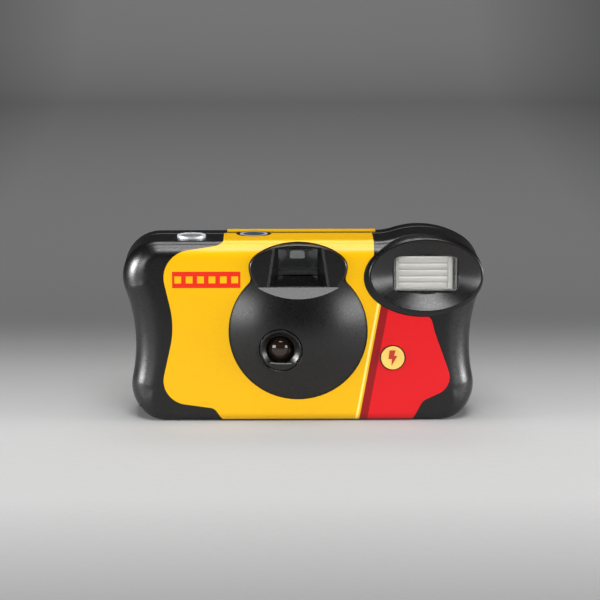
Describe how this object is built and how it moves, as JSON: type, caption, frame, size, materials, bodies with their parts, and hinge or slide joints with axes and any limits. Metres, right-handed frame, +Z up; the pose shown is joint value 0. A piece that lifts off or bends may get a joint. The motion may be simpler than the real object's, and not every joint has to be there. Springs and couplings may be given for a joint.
{
  "type": "disposable film camera",
  "caption": "Single-use 35 mm film camera with waisted grips, domed lens surround, viewfinder hood, built-in flash pod, push buttons and thumbwheel film advance.",
  "frame": {"origin": "middle of the bounding box in plan, on the base plane that the camera stands on", "axes": "+X to the viewer's right when facing the lens, +Y from the lens towards the back, +Z up"},
  "size_m": [0.1179, 0.0358, 0.0615],
  "materials": {
    "black_plastic": "satin moulded black polystyrene",
    "label_film": "printed adhesive film",
    "frame_plastic": "matte moulded dark grey",
    "clear_plastic": "clear moulded acrylic",
    "dark_steel": "blackened sheet",
    "spring_steel": "bright drawn wire and strip",
    "white_plastic": "natural moulded acetal",
    "cartridge_metal": "lacquered thin sheet",
    "film_base": "coated film",
    "silver_paint": "silver painted plastic",
    "reflector_foil": "bright aluminised sheet",
    "tube_glass": "clear glass",
    "circuit_board": "green solder resist",
    "capacitor_can": "dark sleeve over a can",
    "winding": "enamelled wire under tape",
    "lamp_glass": "small neon lamp",
    "amber_plastic": "tinted clear acrylic",
    "contact_brass": "rolled strip",
    "pale_plastic": "pale yellow moulded plastic",
    "battery_can": "printed sleeve over a steel can, at a cell's mean density"
  },
  "bodies": {
    "camera": {"front_cover": "black_plastic", "rear_cover": "black_plastic", "front_label": "label_film", "rear_label": "label_film", "main_frame": "frame_plastic", "taking_lens": "clear_plastic", "lens_retainer": "frame_plastic", "shutter_spring": "spring_steel", "striker_spring": "spring_steel", "metering_spring": "spring_steel", "keeper_plate": "frame_plastic", "cartridge_shell": "cartridge_metal", "cartridge_caps": "cartridge_metal", "film_strip": "film_base", "counter_window": "clear_plastic", "viewfinder_front_lens": "clear_plastic", "viewfinder_rear_lens": "clear_plastic", "flash_lens": "clear_plastic", "flash_reflector": "reflector_foil", "flash_tube": "tube_glass", "flash_board": "circuit_board", "main_capacitor": "capacitor_can", "transformer": "winding", "trigger_coil": "winding", "ready_lamp": "lamp_glass", "ready_window": "amber_plastic", "charge_contact": "contact_brass", "sync_contact": "contact_brass", "battery": "battery_can", "battery_contact_plus": "spring_steel", "battery_contact_minus": "spring_steel"},
    "winder": {"thumbwheel": "black_plastic", "cartridge_spool": "frame_plastic"},
    "sprocket": {"sprocket_wheel": "white_plastic"},
    "supply_roll": {"film_roll": "film_base"},
    "dial": {"counter_dial": "white_plastic"},
    "release": {"shutter_button": "silver_paint"},
    "charger": {"flash_button": "pale_plastic"},
    "blade": {"shutter_blade": "dark_steel"},
    "striker_lever": {"striker": "white_plastic"},
    "metering": {"metering_lever": "white_plastic"},
    "door": {"film_door": "black_plastic"}
  },
  "joints": [
    {"name": "wind", "type": "hinge", "parent": "camera", "child": "winder", "pos_m": [-0.03723, 0.00317, 0.05115], "axis": [0, 0, 1], "continuous": true},
    {"name": "sprocket_turn", "type": "hinge", "parent": "camera", "child": "sprocket", "pos_m": [-0.01773, 0.00883, 0.04], "axis": [0, 0, 1], "continuous": true, "deforming": ["film_strip"]},
    {"name": "roll_turn", "type": "hinge", "parent": "camera", "child": "supply_roll", "pos_m": [0.03034, 0.00575, 0.02], "axis": [0, 0, 1], "continuous": true},
    {"name": "dial_turn", "type": "hinge", "parent": "camera", "child": "dial", "pos_m": [-0.01543, -0.00102, 0.05435], "axis": [0, 0, 1], "continuous": true},
    {"name": "shutter_press", "type": "slide", "parent": "camera", "child": "release", "axis": [0, 0, -1], "range_m": [0, 0.0011], "stiffness_N_per_m": 800},
    {"name": "charge_press", "type": "slide", "parent": "camera", "child": "charger", "axis": [0, 1, 0], "range_m": [0, 0.0008], "stiffness_N_per_m": 800},
    {"name": "blade_swing", "type": "hinge", "parent": "camera", "child": "blade", "pos_m": [-0.0185, -0.009, 0.03463], "axis": [0, 1, 0], "range_deg": [0, 22], "stiffness_Nm_per_rad": 0.002, "deforming": ["shutter_spring"]},
    {"name": "striker_swing", "type": "hinge", "parent": "camera", "child": "striker_lever", "pos_m": [-0.01763, -0.00302, 0.05185], "axis": [0, 0, 1], "range_deg": [0, 12], "stiffness_Nm_per_rad": 0.004, "deforming": ["striker_spring"]},
    {"name": "metering_swing", "type": "hinge", "parent": "camera", "child": "metering", "pos_m": [-0.01363, 0.00453, 0.05035], "axis": [0, 0, 1], "range_deg": [0, 5], "stiffness_Nm_per_rad": 0.004, "deforming": ["metering_spring"]},
    {"name": "door_hinge", "type": "hinge", "parent": "camera", "child": "door", "pos_m": [-0.02413, 0.00328, 0.0003], "axis": [0, -1, 0], "range_deg": [0, 100], "stiffness_Nm_per_rad": 0.02}
  ],
  "couplings": [
    {"joint": "sprocket_turn", "follows": "wind", "ratio": 1.356},
    {"joint": "roll_turn", "follows": "wind", "ratio": 0.911},
    {"joint": "dial_turn", "follows": "wind", "ratio": -0.03767},
    {"joint": "blade_swing", "follows": "striker_swing", "ratio": 1.8333}
  ]
}
